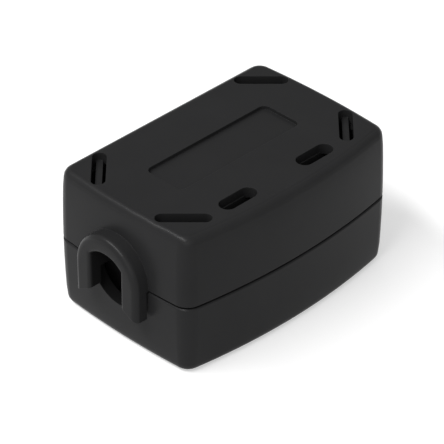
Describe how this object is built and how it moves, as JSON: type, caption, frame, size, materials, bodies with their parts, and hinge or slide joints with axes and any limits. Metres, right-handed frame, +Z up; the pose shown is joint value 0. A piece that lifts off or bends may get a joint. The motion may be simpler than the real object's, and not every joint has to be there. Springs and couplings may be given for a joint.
{
  "type": "clip-on ferrite bead",
  "caption": "Black hinged clip-on ferrite bead: a moulded housing in two halves with arched cable collars, snap latches and a split ferrite core around a cable bore.",
  "frame": {"origin": "middle of the cable bore, on the plane where the two halves meet", "axes": "+X along the cable, +Y towards the hinge, +Z up through the roof of the upper half"},
  "size_m": [0.0428, 0.0287, 0.0209],
  "materials": {
    "housing": "fine spark-eroded moulded texture, satin black nylon",
    "ferrite": "sintered, with ground mating faces"
  },
  "bodies": {
    "lower": {"lower_shell": "housing", "lower_core": "ferrite"},
    "upper": {"upper_shell": "housing", "upper_core": "ferrite"}
  },
  "joints": [
    {"name": "lid_hinge", "type": "hinge", "parent": "lower", "child": "upper", "pos_m": [0, 0.01355, 0], "axis": [-1, 0, 0], "range_deg": [0, 170]}
  ]
}
